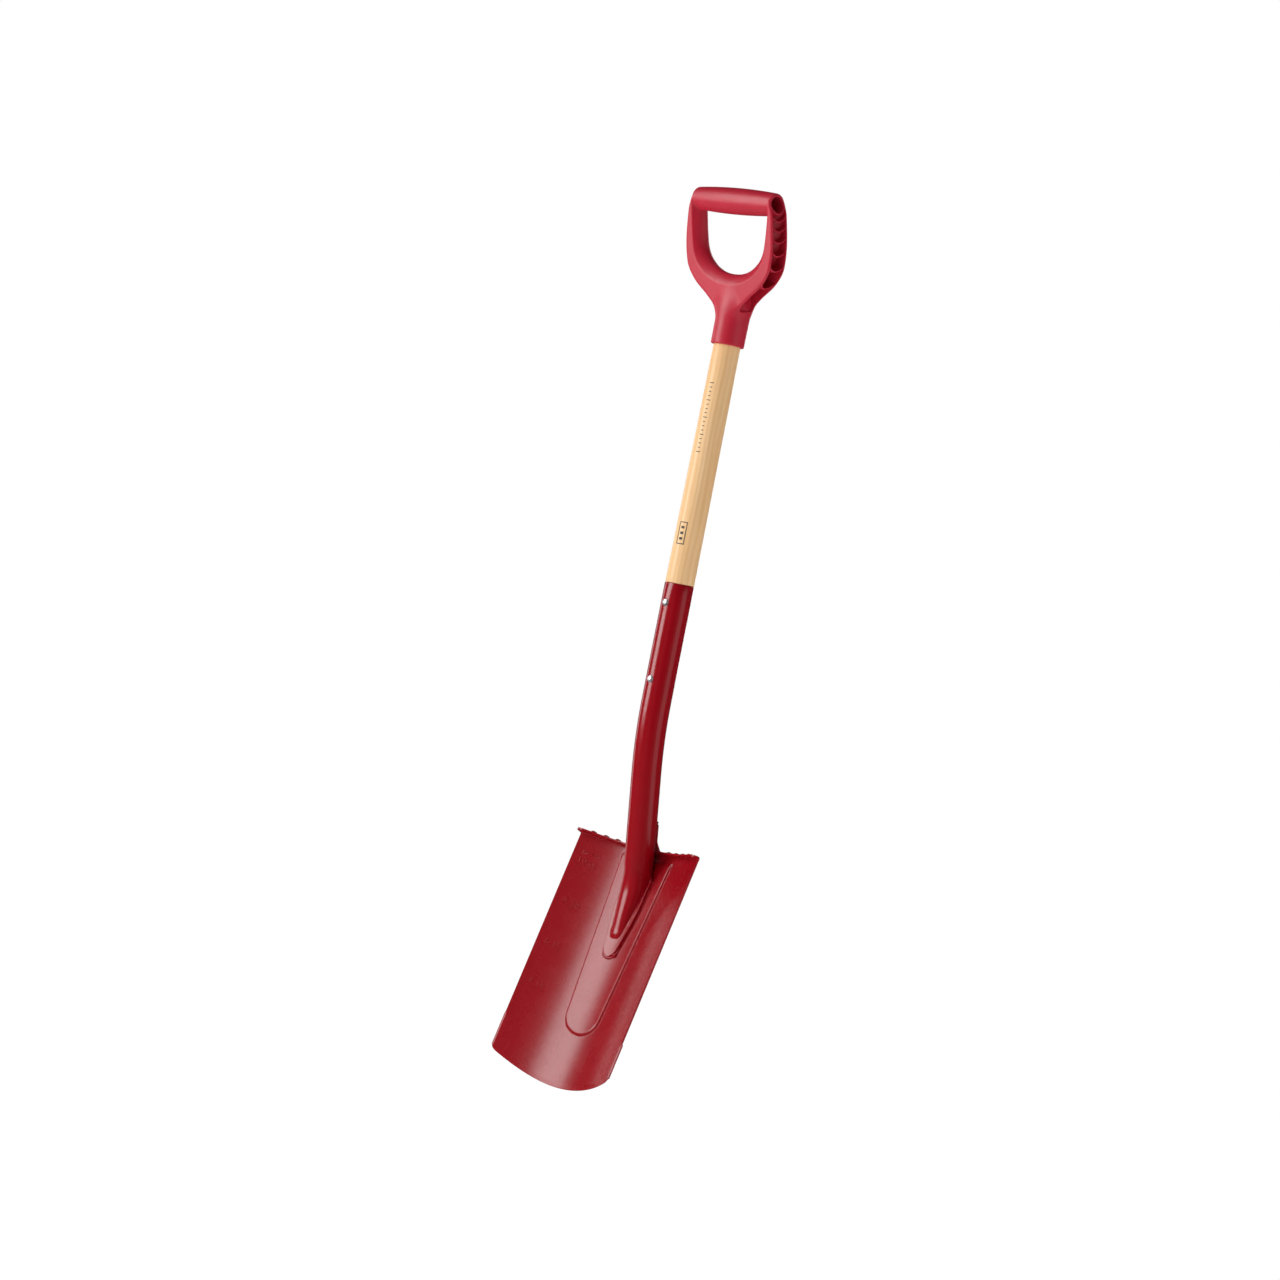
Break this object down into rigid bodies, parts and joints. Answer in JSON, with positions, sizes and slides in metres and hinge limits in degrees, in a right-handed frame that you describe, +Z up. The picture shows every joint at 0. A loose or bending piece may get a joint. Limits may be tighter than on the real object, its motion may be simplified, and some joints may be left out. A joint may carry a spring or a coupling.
{
  "type": "garden spade",
  "caption": "Garden spade with a dished steel blade with folded treads, a bent steel socket tube, an ash shaft and a moulded D-grip.",
  "frame": {"origin": "lowest point of the grip's crossbar, midway between its ends, where a hook or a hand holds the spade up", "axes": "+Z up along the shaft towards the grip, +X to the right for someone looking at the blade's hollow front, which faces -Y"},
  "size_m": [0.1958, 0.1037, 1.0437],
  "materials": {
    "blade_paint": "satin red powder coat over pressed steel",
    "tube_paint": "satin red powder coat over steel tube",
    "weld_paint": "red powder coat over weld beads",
    "ash": "turned ash with a clear satin lacquer",
    "grip_plastic": "moulded red plastic with a fine satin grain",
    "bright_steel": "bright steel"
  },
  "bodies": {
    "root": {"blade": "blade_paint", "socket_tube": "tube_paint", "weld_tongue": "weld_paint", "weld_tab": "weld_paint", "shaft": "ash", "grip": "grip_plastic", "rivet_upper": "bright_steel", "rivet_lower": "bright_steel", "grip_screw": "bright_steel"}
  },
  "joints": []
}
